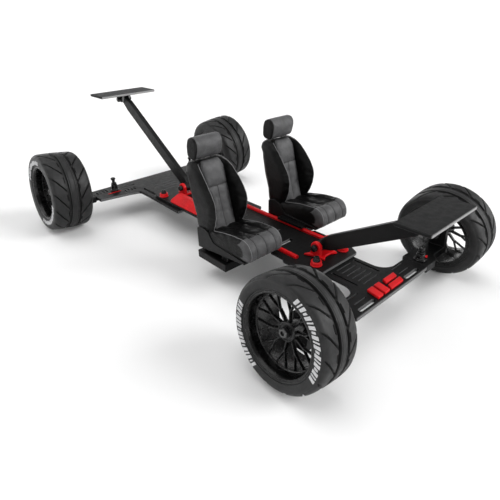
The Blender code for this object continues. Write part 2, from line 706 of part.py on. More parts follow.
def seat_frame(root, name, centre):
    """Thin sloped base with an L-shaped cheek on each side and a flange over the rail."""
    rear, front = -27.0, -108.0
    profile = rounded([(rear, seat_floor(rear)), (front, seat_floor(front)),
                       (front, seat_floor(front) + 2.6), (-82, 48.0, 10), (-56, 49.5, 7),
                       (-47, 60.5, 3), (-38, 62.5, 4), (rear, 60.0, 3)])
    frame = finished(name, prism(profile, centre - SEAT_HALF, centre + SEAT_HALF, "X"),
                     black_plastic(), root)
    chamfer(frame, 0.4, 60.0)
    inside = SEAT_HALF - SEAT_WALL
    rise = 2.0
    pocket = [(-10, seat_floor(-10) + rise), (-112, seat_floor(-112) + rise), (-112, 75), (-10, 75)]
    combine(frame, prism(pocket, centre - inside, centre + inside, "X"), "DIFFERENCE")
    side = math.copysign(1.0, centre)
    flange = sorted((side * 22.5, side * (SEAT_X - SEAT_HALF + SEAT_WALL / 2)))
    over_rail = prism(box_outline((flange[0], -92.0), (flange[1], -52.0)), RAIL_TOP + GAP, 45.6)
    combine(frame, over_rail, "UNION")


def cushion(root, name, centre):
    """Seat cushion with raised side bolsters."""
    half = SEAT_HALF - SEAT_WALL - GAP
    rise = 2.0 + GAP
    front, rear = -113.0, -40.0
    profile = rounded([(rear, seat_floor(rear) + rise), (front + 4, seat_floor(front) + rise),
                       (front, 53, 3), (front + 1, 66.5, 6), (-92, 69.5, 12),
                       (rear - 13, 60.5, 3), (rear, 58.5, 2)])
    piece = finished(name, prism(profile, centre - half, centre + half, "X"), leather(), root)
    dip = [(centre - 15, 74), (centre - 13, 62.5, 4), (centre + 13, 62.5, 4), (centre + 15, 74)]
    combine(piece, prism(rounded(dip), -101.0, -30.0, "Y"), "DIFFERENCE")


def backrest(root, name, centre):
    """Backrest whose side bolsters are deepest at half height."""
    half = SEAT_HALF - SEAT_WALL - GAP
    profile = rounded([(-28, 38.7, 2), (-39.5, 39.4), (-39.5, 59.5), (-53.5, 62.8, 3), (-62, 80, 8),
                       (-63, 96, 8), (-38, 126, 10), (-22, 134, 4), (-8, 128, 4)])
    piece = finished(name, prism(profile, centre - half, centre + half, "X"), leather(), root)
    shape = bmesh.new()
    front = [(-25, 140), (-29, 131), (-48.5, 59), (-49, 40), (-80, 40), (-80, 140)]
    add_prism(shape, front, centre - 15, centre + 15, "X")
    for side in (-1, 1):
        shoulder = [(centre + side * 31, 112), (centre + side * 31, 142), (centre + side * 19, 142)]
        add_prism(shape, shoulder, -75.0, 0.0, "Y")
    combine(piece, shape, "DIFFERENCE")
    sockets = bmesh.new()
    for side in (-1, 1):
        add_rod(sockets, 1.5, 122.0, 140.0, "Z", (centre + side * 8, -17.0, 0.0), 8)
    combine(piece, sockets, "DIFFERENCE")


def headrest(root, name, centre):
    """Headrest with the two thin posts that slide in the backrest."""
    body = empty(f"{name}_frame", root, (centre, -17.0, 0.0))
    profile = rounded([(9, 134.6, 5), (-9, 134.6, 5), (-12, 158, 6), (6, 159, 7)])
    pad = finished(name, prism(profile, -18.8, 18.8, "X"), leather(), body)
    chamfer(pad, 2.6, 60.0)
    posts = bmesh.new()
    for side in (-1, 1):
        add_rod(posts, 1.2, 124.0, 142.0, "Z", (side * 8, 0.0, 0.0), 8)
    combine(pad, posts, "UNION")


def build():
    for obj in list(bpy.data.objects):
        bpy.data.objects.remove(obj)
    chassis = empty("chassis_frame", None, (0.0, MID_Y, 0.0))
    floor_plate(chassis)
    side_rail(chassis, "side_rail_left", 1)
    side_rail(chassis, "side_rail_right", -1)
    front_end = empty("front_end_frame", chassis)
    front_end_plate(front_end)
    rear_end = empty("rear_end_frame", chassis)
    rear_end_plate(rear_end)
    for end_body, end, front in ((front_end, "front", True), (rear_end, "rear", False)):
        for hand, left in (("left", True), ("right", False)):
            corner_assembly(end_body, f"{end}_{hand}", front, left)
    for end, cups in (("front", FRONT_CUPS), ("rear", REAR_CUPS)):
        for hand, side in (("left", 1), ("right", -1)):
            clamp(chassis, f"{end}_{hand}", (side * cups[0], cups[1]))
    arm_bracket(chassis, "front_arm_bracket", FRONT_ARM_PIVOT, -1)
    arm_bracket(chassis, "rear_arm_bracket", REAR_ARM_PIVOT, 1)
    ends = (("front", FRONT_ARM_PIVOT, FRONT_ARM_TIP, FRONT_PLATFORM),
            ("rear", REAR_ARM_PIVOT, REAR_ARM_TIP, REAR_PLATFORM))
    for end, pivot, tip, size in ends:
        body, reach = arm(chassis, f"{end}_arm", pivot, tip)
        thumb_screw(chassis, f"{end}_arm_screw", (0.0, *pivot),
                    ARM_FOOT_HALF + GAP + EAR_THICKNESS, False)
        platform(body, f"{end}_platform", size, pivot, reach)
    for side, name in ((1, "left"), (-1, "right")):
        seat(chassis, side, name)


build()
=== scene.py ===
"""Looks of a model car's rolling chassis: tyres, rims, upholstery, screws, finishes and light.

Lengths are in millimetres in the frame's axes: X to the car's left, Y to its rear, Z up.
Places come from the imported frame's boxes and joints.
"""
import json
import math

import bmesh
import bpy
import numpy as np
from mathutils import Matrix, Vector, noise


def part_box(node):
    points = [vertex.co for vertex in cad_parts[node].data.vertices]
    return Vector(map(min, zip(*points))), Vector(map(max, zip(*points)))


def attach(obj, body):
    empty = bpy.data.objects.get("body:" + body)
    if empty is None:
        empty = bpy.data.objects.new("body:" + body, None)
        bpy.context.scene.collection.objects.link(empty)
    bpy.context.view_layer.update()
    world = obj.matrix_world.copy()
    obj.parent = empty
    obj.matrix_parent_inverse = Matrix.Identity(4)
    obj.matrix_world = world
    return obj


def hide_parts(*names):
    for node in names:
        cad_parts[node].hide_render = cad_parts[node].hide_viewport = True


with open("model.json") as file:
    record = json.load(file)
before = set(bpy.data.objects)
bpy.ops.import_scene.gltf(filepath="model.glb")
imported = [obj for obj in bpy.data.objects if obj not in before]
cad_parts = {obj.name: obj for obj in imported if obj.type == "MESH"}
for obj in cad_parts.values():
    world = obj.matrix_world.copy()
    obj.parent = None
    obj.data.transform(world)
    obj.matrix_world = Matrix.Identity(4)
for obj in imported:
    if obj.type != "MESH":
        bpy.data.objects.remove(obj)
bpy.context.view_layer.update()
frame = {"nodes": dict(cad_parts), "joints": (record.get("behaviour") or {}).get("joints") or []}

MM = 0.001
CORNERS = [f"{end}_{hand}" for end in ("front", "rear") for hand in ("left", "right")]
HANDS = ("left", "right")
JOINTS = {joint["name"]: joint for joint in frame["joints"]}


def box(node):
    """Lowest and highest corner of a CAD node."""
    low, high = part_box(node)
    return Vector(low) / MM, Vector(high) / MM


def joint_at(name):
    return Vector(JOINTS[name]["pos_m"]) / MM


def wheel_axes(corner):
    """Matrix from a wheel's own axes (outwards, to the rear, up the leaning wheel) to the frame's."""
    centre = joint_at(f"wheel_spin_{corner}")
    axis = Vector(JOINTS[f"wheel_spin_{corner}"]["axis"]).normalized()
    outward = axis if axis.x * centre.x > 0 else -axis
    up = (Vector((0, 0, 1)) - outward * outward.z).normalized()
    axes = Matrix((outward, Vector((0, 1, 0)), up)).transposed().to_4x4()
    axes.translation = centre
    return axes


def wheel_box(node, corner):
    """Lowest and highest corner of a CAD node in the wheel's own axes."""
    back = wheel_axes(corner).inverted()
    points = np.array([back @ (vertex.co / MM) for vertex in frame["nodes"][node].data.vertices])
    return Vector(points.min(0)), Vector(points.max(0))


# Midway between the axles; the seats and rails are drawn from here.
MID_Y = (joint_at("wheel_spin_front_left").y + joint_at("wheel_spin_rear_left").y) / 2


# Finishes

class Finish:
    """Procedural material around one Principled shader."""

    def __init__(self, name, colour, roughness, metallic=0.0):
        self.material = bpy.data.materials.new(name)
        self.material.use_nodes = True
        self.material.diffuse_color = (*colour, 1.0)
        self.tree = self.material.node_tree
        self.shader = self.tree.nodes["Principled BSDF"]
        self.set(self.shader, "Base Color", (*colour, 1.0))
        self.set(self.shader, "Roughness", roughness)
        self.set(self.shader, "Metallic", metallic)
        source = self.tree.nodes.new("ShaderNodeTexCoord")
        self.place = source.outputs["Object"]
        self.normal = source.outputs["Normal"]

    def set(self, node, socket, value):
        """Give a socket a number or colour, or link it to another socket."""
        if isinstance(value, bpy.types.NodeSocket):
            self.tree.links.new(value, node.inputs[socket])
        else:
            node.inputs[socket].default_value = value

    def node(self, kind, settings=None, **inputs):
        made = self.tree.nodes.new(kind)
        for key, value in (settings or {}).items():
            setattr(made, key, value)
        for socket, value in inputs.items():
            self.set(made, socket.replace("_", " "), value)
        return made

    def stretched(self, x, y, z):
        """Place with its axes scaled, for a grain that runs one way."""
        node = self.node("ShaderNodeMapping", Vector=self.place, Scale=(x, y, z))
        return node.outputs["Vector"]

    def noise(self, size, detail=2.0, place=None, distortion=0.0):
        node = self.node("ShaderNodeTexNoise", Vector=place or self.place, Scale=1 / (size * MM),
                         Detail=detail, Distortion=distortion)
        return node.outputs["Fac"]

    def cells(self, size):
        """0 on the borders between cells of about that size, and higher inside them."""
        node = self.node("ShaderNodeTexVoronoi", {"feature": "DISTANCE_TO_EDGE"},
                         Vector=self.place, Scale=1 / (size * MM))
        return node.outputs["Distance"]

    def ranged(self, value, low, high, to_low, to_high):
        node = self.node("ShaderNodeMapRange", Value=value, From_Min=low, From_Max=high,
                         To_Min=to_low, To_Max=to_high)
        return node.outputs["Result"]

    def maths(self, operation, first, second):
        node = self.node("ShaderNodeMath", {"operation": operation})
        for socket, value in zip(node.inputs, (first, second)):
            if isinstance(value, bpy.types.NodeSocket):
                self.tree.links.new(value, socket)
            else:
                socket.default_value = value
        return node.outputs[0]

    def blended(self, factor, first, second):
        """Colour that goes from first to second as factor goes from 0 to 1."""
        node = self.node("ShaderNodeMix", {"data_type": "RGBA"})
        for socket, value in zip((node.inputs[0], node.inputs[6], node.inputs[7]),
                                 (factor, first, second)):
            if isinstance(value, bpy.types.NodeSocket):
                self.tree.links.new(value, socket)
            else:
                socket.default_value = (*value, 1.0)
        return node.outputs[2]

    def attribute(self, name):
        return self.node("ShaderNodeAttribute", {"attribute_name": name}).outputs["Fac"]

    def edges(self, radius):
        """0 on flat stretches, and towards 1 on edges of about that radius."""
        soft = self.node("ShaderNodeBevel", {"samples": 4}, Radius=radius * MM)
        plain = self.node("ShaderNodeNewGeometry")
        product = self.node("ShaderNodeVectorMath", {"operation": "DOT_PRODUCT"})
        self.tree.links.new(soft.outputs["Normal"], product.inputs[0])
        self.tree.links.new(plain.outputs["Normal"], product.inputs[1])
        return self.ranged(product.outputs["Value"], 1.0, 0.86, 0.0, 1.0)

    def bumped(self, *layers):
        """Stack bumps; each layer is (height socket, distance in mm)."""
        normal = None
        for height, distance in layers:
            node = self.node("ShaderNodeBump", Height=height, Distance=distance * MM, Strength=1.0)
            if normal:
                self.tree.links.new(normal, node.inputs["Normal"])
            normal = node.outputs["Normal"]
        self.tree.links.new(normal, self.shader.inputs["Normal"])


def moulded(name, colour, edge_highlight_colour, roughness, grain=0.04, gloss=0.3, front_face_light_colour=None):
    """Moulded plastic with a fine matte grain, a painted highlight along its edges and, on plates,
    painted light on the faces that look to the front.
    """
    finish = Finish(name, colour, roughness)
    cloudy = finish.ranged(finish.noise(14.0, 3.0), 0.3, 0.7, 0.0, 1.0)
    darker = tuple(0.7 * part for part in colour)
    body = finish.blended(cloudy, darker, colour)
    # Painted highlight: the edges are coloured paler, as if catching the light, patchy by noise.
    painted_edge_highlight = finish.maths("MULTIPLY", finish.edges(0.45),
                          finish.ranged(finish.noise(3.0, 4.0), 0.35, 0.65, 0.2, 0.8))
    body = finish.blended(painted_edge_highlight, body, edge_highlight_colour)
    if front_face_light_colour:
        # Painted light: faces that look to the front are coloured paler, as if lit from the front.
        facing = finish.node("ShaderNodeSeparateXYZ", Vector=finish.normal).outputs["Y"]
        front_light_grain = finish.ranged(finish.noise(1.2, 4.0), 0.35, 0.65, 0.75, 1.0)
        ahead = finish.maths("MULTIPLY", finish.ranged(facing, -0.6, -0.9, 0.0, 1.0), front_light_grain)
        body = finish.blended(ahead, body, front_face_light_colour)
    finish.set(finish.shader, "Base Color", body)
    finish.set(finish.shader, "Roughness",
               finish.ranged(finish.noise(5.0, 4.0), 0.3, 0.7, roughness - 0.07, roughness + 0.08))
    finish.bumped((finish.noise(0.55, 3.0), grain), (finish.noise(9.0, 2.0), grain))
    finish.set(finish.shader, "Specular IOR Level", gloss)
    return finish.material


def rubber_finish():
    """Matte tyre rubber with painted shade in the tread's grooves, and a dusty bloom."""
    finish = Finish("tyre_rubber", (0.02, 0.02, 0.0205), 0.58)
    bloom = finish.ranged(finish.noise(11.0, 5.0, distortion=0.6), 0.3, 0.72, 0.0, 1.0)
    surface = finish.blended(bloom, (0.0065, 0.0065, 0.0068), (0.0165, 0.0165, 0.0168))
    # Painted shade: the tread's grooves are coloured near black by their depth.
    grooves = finish.attribute("groove")
    finish.set(finish.shader, "Base Color", finish.blended(grooves, surface, (0.0012, 0.0012, 0.0012)))
    finish.set(finish.shader, "Roughness",
               finish.ranged(finish.noise(4.0, 4.0), 0.3, 0.7, 0.42, 0.6))
    finish.bumped((finish.noise(0.6, 4.0), 0.05), (finish.noise(7.0, 3.0), 0.1))
    finish.set(finish.shader, "Specular IOR Level", 0.28)
    return finish.material


def leather_finish(name, colour, roughness, gloss=0.25):
    """Fine pebbled leather with shallow creases, uneven sheen and painted shade along its pressed-in
    seams.
    """
    finish = Finish(name, colour, roughness)
    patches = finish.ranged(finish.noise(9.0, 4.0, distortion=0.5), 0.3, 0.7, 0.0, 1.0)
    darker = tuple(0.62 * part for part in colour)
    hide = finish.blended(patches, darker, colour)
    # Painted shade: the pressed-in seams are coloured near black.
    seams = finish.maths("POWER", finish.attribute("groove"), 2.5)
    finish.set(finish.shader, "Base Color", finish.blended(seams, hide, (0.0015, 0.0015, 0.0015)))
    pebbles = finish.cells(0.75)
    creases = finish.noise(3.2, 5.0, finish.stretched(1.0, 1.0, 2.2), 1.2)
    finish.set(finish.shader, "Roughness",
               finish.ranged(finish.noise(6.0, 4.0), 0.3, 0.7, roughness - 0.08, roughness + 0.1))
    finish.bumped((creases, 0.32), (pebbles, 0.09))
    finish.set(finish.shader, "Specular IOR Level", gloss)
    return finish.material


def steel_finish():
    """Blackened steel with turning marks."""
    finish = Finish("dark_steel", (0.1, 0.1, 0.1), 0.38, 0.9)
    marks = finish.noise(0.5, 3.0, finish.stretched(0.15, 1.0, 1.0))
    finish.set(finish.shader, "Roughness", finish.ranged(marks, 0.3, 0.7, 0.28, 0.5))
    finish.bumped((marks, 0.02))
    return finish.material


def thread_finish(name, colour):
    """Twisted cord or painted rubber, with a fine fibre."""
    finish = Finish(name, colour, 0.6)
    fibre = finish.noise(0.45, 3.0)
    darker = tuple(0.6 * part for part in colour)
    finish.set(finish.shader, "Base Color",
               finish.blended(finish.ranged(fibre, 0.35, 0.65, 0.0, 1.0), darker, colour))
    finish.bumped((fibre, 0.05))
    return finish.material


# The third colour of each finish is its painted edge highlight.
BLACK = moulded("black_plastic", (0.0032, 0.0032, 0.0034), (0.045, 0.045, 0.047), 0.42, gloss=0.17)
# Plates and deck get painted light on their front-facing faces, in the last colour given.
PLATE = moulded("plate_plastic", (0.0032, 0.0032, 0.0034), (0.07, 0.07, 0.072), 0.46, gloss=0.15,
                front_face_light_colour=(0.12, 0.12, 0.122))
DECK = moulded("deck_plastic", (0.0105, 0.0105, 0.0107), (0.1, 0.1, 0.102), 0.58, 0.08, 0.1,
               front_face_light_colour=(0.3, 0.3, 0.3))
SATIN = moulded("satin_plastic", (0.0016, 0.0016, 0.0017), (0.1, 0.1, 0.102), 0.26, 0.02, 0.3)
RED = moulded("red_plastic", (0.66, 0.0045, 0.008), (0.8, 0.02, 0.025), 0.4, 0.03, 0.22)
RUBBER = rubber_finish()
STEEL = steel_finish()
PANEL = leather_finish("leather_panel", (0.078, 0.078, 0.08), 0.5)
HIDE = leather_finish("leather_bolster", (0.0024, 0.0024, 0.0025), 0.42, 0.15)
PIPING = thread_finish("piping_cord", (0.19, 0.19, 0.195))
MARK = thread_finish("sidewall_paint", (0.6, 0.6, 0.61))


# Modelling

def piece(name, bm, materials, body, smooth=38.0):
    """Object from a mesh drawn in millimetres, riding on a CAD body."""
    bmesh.ops.scale(bm, vec=(MM, MM, MM), verts=bm.verts)
    bmesh.ops.recalc_face_normals(bm, faces=bm.faces)
    mesh = bpy.data.meshes.new(name)
    bm.to_mesh(mesh)
    bm.free()
    for material in materials:
        mesh.materials.append(material)
    mesh.shade_smooth()
    mesh.set_sharp_from_angle(angle=math.radians(smooth))
    obj = bpy.data.objects.new(name, mesh)
    bpy.context.scene.collection.objects.link(obj)
    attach(obj, body)
    return obj


def rounded_edges(obj, width, segments=2, angle=32.0):
    modifier = obj.modifiers.new("Rounded edges", "BEVEL")
    modifier.width = width * MM
    modifier.segments = segments
    modifier.limit_method = "ANGLE"
    modifier.angle_limit = math.radians(angle)
    modifier.harden_normals = True


def smooth_curve(points, per_span=5, closed=False):
    """Catmull-Rom curve through the points, with the points themselves kept."""
    points = [Vector(point) for point in points]
    count = len(points)
    curve = []
    for index in range(count if closed else count - 1):
        near = [index - 1, index, index + 1, index + 2]
        near = [i % count if closed else min(max(i, 0), count - 1) for i in near]
        a, b, c, d = (points[i] for i in near)
        for step in range(per_span):
            t = step / per_span
            curve.append(0.5 * (2 * b + (c - a) * t + (2 * a - 5 * b + 4 * c - d) * t * t
                                + (3 * b - a - 3 * c + d) * t ** 3))
    if not closed:
        curve.append(points[-1])
    return curve


def add_rows(bm, rows, closed=False, capped=False, zones=None):
    """Skin rows of points into a tube; zones gives the material of each column of faces."""
    made = [[bm.verts.new(point) for point in row] for row in rows]
    count = len(rows[0])
    following = made[1:] + (made[:1] if closed else [])
    for row, after in zip(made, following):
        for step in range(count):
            right = (step + 1) % count
            face = bm.faces.new((row[step], after[step], after[right], row[right]))
            if zones:
                face.material_index = zones[step]
    if capped:
        for row in (made[0], made[-1]):
            face = bm.faces.new(row)
            if zones:
                face.material_index = 1
    return made


def add_turned(bm, profile, axis, centre, steps=48, flutes=0, flute_depth=0.0, fluted=()):
    """Turn (along, radius) points about an axis; the rows named in fluted get grip flutes."""
    place = {"X": lambda a, b, c: (a, b, c), "Z": lambda a, b, c: (b, c, a)}[axis]
    rows = []
    for index, (along, radius) in enumerate(profile):
        row = []
        for step in range(steps):
            turn = 2 * math.pi * step / steps
            grip = flute_depth * (0.5 + 0.5 * math.cos(flutes * turn)) if index in fluted else 0.0
            reach = max(radius - grip, 0.0)
            row.append(Vector(place(along, reach * math.cos(turn), reach * math.sin(turn))) + centre)
        rows.append(row)
    hollow = profile[0][1] > 0.0
    add_rows(bm, rows, closed=hollow)
    if not hollow:
        bmesh.ops.remove_doubles(bm, verts=bm.verts, dist=1e-4)


def add_prism(bm, outline, low, high, axis="Z"):
    """Extrude a closed outline along an axis."""
    place = {"X": lambda a, b, c: (c, a, b), "Y": lambda a, b, c: (a, c, b),
             "Z": lambda a, b, c: (a, b, c)}[axis]
    bottom = [bm.verts.new(place(point[0], point[1], low)) for point in outline]
    top = [bm.verts.new(place(point[0], point[1], high)) for point in outline]
    bm.faces.new(bottom)
    bm.faces.new(top)
    for index in range(len(outline)):
        after = (index + 1) % len(outline)
        bm.faces.new((bottom[index], bottom[after], top[after], top[index]))


def add_tube(bm, path, radius, sides=8, closed=False):
    """Round tube along a path of points."""
    count = len(path)
    rows = []
    side = None
    for index, point in enumerate(path):
        before = path[index - 1 if closed or index else 0]
        after = path[(index + 1) % count if closed else min(index + 1, count - 1)]
        along = (after - before).normalized()
        if side is None:
            side = along.orthogonal().normalized()
        side = (side - along * side.dot(along)).normalized()
        up = along.cross(side)
        turns = [2 * math.pi * step / sides for step in range(sides)]
        rows.append([point + radius * (math.cos(turn) * side + math.sin(turn) * up)
                     for turn in turns])
    add_rows(bm, rows, closed=closed, capped=not closed)


# Wheels

def tread_relief(along, arc, rib, shoulder, pitch):
    """Groove depth in mm at a place across the tread and along its circumference."""
    def cut(distance, half_width, depth, soft=0.35):
        return depth * np.clip((half_width + soft - np.abs(distance)) / soft, 0.0, 1.0)

    outer, inner = rib
    relief = np.maximum(cut(along - outer, 1.4, 2.1), cut(along + inner, 1.15, 1.9))
    middle = (outer - inner) / 2
    for offset in (-0.22, 0.22):
        relief = np.maximum(relief, cut(along - middle - offset * (outer + inner), 0.12, 0.35, 0.3))
    for side, edge, shift in ((1, outer, 0.0), (-1, inner, 0.5)):
        out = side * along - edge
        slope = 1.05
        kink = np.where(out < 3.0, 0.0, out - 3.0)
        centre = -slope * out - 0.25 * kink
        offset = (arc - centre + shift * pitch) % pitch
        offset = np.minimum(offset, pitch - offset) / math.hypot(1.0, slope)
        reach = np.clip((shoulder - side * along) / 1.5, 0.0, 1.0) * np.clip(out / 0.4, 0.0, 1.0)
        relief = np.maximum(relief, cut(offset, 0.6, 1.6, 0.35) * reach)
        notch = (arc + 0.72 * pitch + shift * pitch) % pitch
        notch = np.minimum(notch, pitch - notch)
        short = np.clip((4.2 - notch) / 0.8, 0.0, 1.0)
        relief = np.maximum(relief, cut(out - 2.6, 0.3, 1.0, 0.35) * short)
    return relief


def side_profile(half, radius, bead):
    """(along, radius) points of one sidewall, from inside the bead to the tread's edge."""
    belly = bead + 0.5 * (radius - bead)
    points = [(half - 5.2, bead - 1.2), (half - 3.2, bead - 0.7), (half - 1.7, bead + 0.2),
              (half - 1.2, bead + 1.2), (half - 1.5, bead + 2.0), (half - 0.6, bead + 2.6),
              (half - 0.1, belly), (half - 0.5, radius - 4.4), (half - 1.0, radius - 3.9),
              (half - 2.0, radius - 2.2), (half - 4.2, radius - 1.0), (half - 6.5, radius - 0.55)]
    return [(point.x, point.y) for point in smooth_curve(points, 3)]


TREAD_BLOCKS = 14         # slots round each shoulder of the tread
ROW_SPACING = 0.75        # between tread points along the circumference
COLUMN_SPACING = 0.55     # between tread points across the tyre


def tyre(corner):
    """Tyre with a real tread: two round grooves, a fine centre rib and slanting slots."""
    node = f"tyre_{corner}"
    low, high = wheel_box(node, corner)
    half = (high.x - low.x) / 2
    radius = (high.y - low.y) / 2 - 0.1
    bead = wheel_box(f"rim_{corner}", corner)[1].y + 0.3
    side = side_profile(half, radius, bead)
    edge = side[-1][0]
    columns = round(2 * edge / COLUMN_SPACING)
    across = [edge - 2 * edge * step / columns for step in range(1, columns)]
    tread = [(along, radius - 0.55 * (along / edge) ** 2) for along in across]
    profile = side + tread + [(-along, height) for along, height in reversed(side)]
    along = np.array([point[0] for point in profile])
    height = np.array([point[1] for point in profile])
    steps = TREAD_BLOCKS * round(2 * math.pi * radius / TREAD_BLOCKS / ROW_SPACING)
    turns = np.arange(steps) * 2 * math.pi / steps
    rib = (0.115 * 2 * half, 0.135 * 2 * half)
    pitch = 2 * math.pi * radius / TREAD_BLOCKS
    grid_along, grid_turn = np.meshgrid(along, turns)
    relief = tread_relief(grid_along, grid_turn * radius, rib, half - 1.2, pitch)
    on_tread = np.clip((height - (radius - 5.5)) / 2.5, 0.0, 1.0)
    relief = relief * on_tread[None, :]
    reach = height[None, :] - relief
    rows = np.stack((grid_along, -reach * np.sin(grid_turn), reach * np.cos(grid_turn)), axis=-1)
    bm = bmesh.new()
    add_rows(bm, rows.tolist(), closed=True)
    bmesh.ops.transform(bm, matrix=wheel_axes(corner), verts=bm.verts)
    obj = piece(node.replace("tyre", "treaded_tyre"), bm, [RUBBER], f"wheel_{corner}")
    # Groove depth, kept for the rubber's painted shade in the grooves.
    shade = obj.data.attributes.new("groove", "FLOAT", "POINT")
    shade.data.foreach_set("value", np.clip(relief / 0.6, 0.0, 1.0).ravel())
    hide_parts(node)
    sidewall_marks(corner, half, bead)


def sidewall_marks(corner, half, bead):
    """Two arcs of slanting painted bars on the outer sidewall."""
    inner, outer = bead + 2.7, bead + 8.4
    middle = (inner + outer) / 2
    spacing, slant = 3.55, 0.28
    bm = bmesh.new()
    start = 65.0 if corner.startswith("front") else 145.0
    for facing, count in ((start, 19), (start + 180.0, 17)):
        for index in range(count):
            width = (1.5, 0.7, 1.5, 1.0)[index % 4]
            tall = (1.0, 1.0, 0.62, 1.0)[(index + count) % 4]
            turn = math.radians(facing) + (index - (count - 1) / 2) * spacing / middle
            reach = (outer - inner) / 2 * tall
            corners = [(-width, -reach), (width, -reach), (width, reach), (-width, reach)]
            faces = []
            for lift in (-0.9, 0.14):
                row = []
                for arc, rise in corners:
                    height, angle = middle + rise, turn + (arc + slant * rise) / middle
                    swell = 0.5 * ((height - middle) / (outer - inner)) ** 2
                    row.append(bm.verts.new((half + 0.12 - swell + lift, -height * math.sin(angle),
                                             height * math.cos(angle))))
                faces.append(row)
            for step in range(4):
                after = (step + 1) % 4
                bm.faces.new((faces[0][step], faces[0][after], faces[1][after], faces[1][step]))
            bm.faces.new(faces[0])
            bm.faces.new(faces[1])
    bmesh.ops.transform(bm, matrix=wheel_axes(corner), verts=bm.verts)
    obj = piece(f"sidewall_marks_{corner}", bm, [MARK], f"wheel_{corner}")
    rounded_edges(obj, 0.35, 2)


def add_strut(bm, start, end, widths, depth):
    """Tapered spoke with a ridge along its outer face, between two (along, y, z) points."""
    start, end = Vector(start), Vector(end)
    facing = Vector((1, 0, 0))
    flat = end - start
    flat.x = 0.0
    side = flat.normalized().cross(facing)
    rows = []
    for point, width in ((start, widths[0]), (end, widths[1])):
        half = width / 2
        section = [(-half, -depth), (half, -depth), (half, -0.9), (0.45 * half, 0.0),
                   (-0.45 * half, 0.0), (-half, -0.9)]
        rows.append([point + side * across + facing * rise for across, rise in section])
    add_rows(bm, rows, capped=True)


def rim(corner):
    """Deep dish rim with ten forked spokes around a ringed hub."""
    node = f"rim_{corner}"
    low, high = wheel_box(node, corner)
    inner, outer = low.x, high.x
    face = wheel_box(f"wheel_bolt_{corner}", corner)[1].x - 4.3
    lip = high.y + 0.3
    seat, barrel = lip - 1.4, lip - 3.6
    web_hub, web_rim = face - 2.0, face + 1.0
    bm = bmesh.new()
    centre = Vector((0, 0, 0))
    add_turned(bm, [
        (inner, barrel), (inner, lip - 0.4), (inner + 0.4, lip), (inner + 2.0, seat),
        (outer - 3.0, seat), (outer - 0.8, lip), (outer - 0.2, lip - 0.15),
        (outer, lip - 0.6), (outer - 0.3, barrel + 1.9), (outer - 1.3, barrel + 1.4),
        (outer - 2.2, barrel + 0.8), (outer - 4.6, barrel + 0.4), (web_rim + 0.6, barrel),
        (web_rim + 0.2, barrel - 0.7), (web_rim - 1.6, barrel - 0.7),
        (web_rim - 2.6, barrel)], "X", centre, 96)
    hub = 9.0
    bore = 3.1
    add_turned(bm, [
        (inner + 9.5, bore), (inner + 9.5, 6.6), (web_hub - 5.0, hub - 1.0),
        (web_hub, hub), (face - 0.7, hub), (face, hub - 0.7), (face, hub - 1.6),
        (face - 0.7, hub - 1.9), (face - 0.7, 5.6), (face, 5.3), (face, bore)], "X", centre, 64)
    spokes, fork = 10, 18.0

    def at(radius, turn):
        along = web_hub + (web_rim - web_hub) * (radius - hub) / (barrel - hub)
        return along, radius * math.sin(turn), radius * math.cos(turn)

    for index in range(spokes):
        turn = math.tau / spokes * index
        add_strut(bm, at(hub - 0.6, turn), at(fork + 0.6, turn), (2.7, 1.9), 3.2)
        for lean in (-1, 1):
            add_strut(bm, at(fork, turn), at(barrel + 0.3, turn + lean * 0.17), (1.6, 1.3), 2.6)
    bmesh.ops.transform(bm, matrix=wheel_axes(corner), verts=bm.verts)
    obj = piece(node.replace("rim", "spoked_rim"), bm, [SATIN], f"wheel_{corner}")
    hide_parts(node)


# Turned pieces

def turned_piece(node, name, profile, body, slot, material, axis="Z", **grip):
    """A finer turned piece in a CAD node's place."""
    low, high = box(node)
    centre = (low + high) / 2
    centre["XYZ".index(axis)] = 0.0
    bm = bmesh.new()
    add_turned(bm, profile, axis, centre, **grip)
    obj = piece(name, bm, [material], body, 30.0)
    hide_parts(node)
    return obj


def clamp(corner):
    """Red cup with a rolled rim, and the fluted knob of the screw in it."""
    node = f"clamp_cup_{corner}"
    low, high = box(node)
    radius = (high.x - low.x) / 2 + 0.1
    base, top = low.z, high.z
    turned_piece(node, f"clamp_collar_{corner}", [
        (base, 2.7), (base, radius + 0.5), (base + 0.8, radius + 0.5), (base + 1.1, radius),
        (top - 0.7, radius), (top - 0.2, radius - 0.25), (top, radius - 0.7), (top, 4.6),
        (top - 0.2, 4.3), (top - 0.8, 4.2), (top - 0.8, 2.7)], "chassis", "red_plastic", RED)
    node = f"clamp_screw_{corner}"
    low, high = box(node)
    knob, head = top + 0.3, high.z
    turned_piece(node, f"clamp_knob_{corner}", [
        (low.z, 0.0), (low.z, 4.1), (low.z + 0.4, 4.5), (low.z + 2.1, 4.5), (low.z + 2.1, 2.2),
        (knob - 0.9, 2.2), (knob - 0.9, 3.9), (knob + 0.2, 4.0), (knob + 0.5, 3.5),
        (head - 2.0, 3.5), (head - 1.8, 3.0), (head - 0.5, 2.9), (head, 2.4), (head, 1.3),
        (head - 0.9, 1.2), (head - 0.9, 0.0)], node, "black_plastic", SATIN,
        steps=72, flutes=12, flute_depth=0.45, fluted=(8, 9))


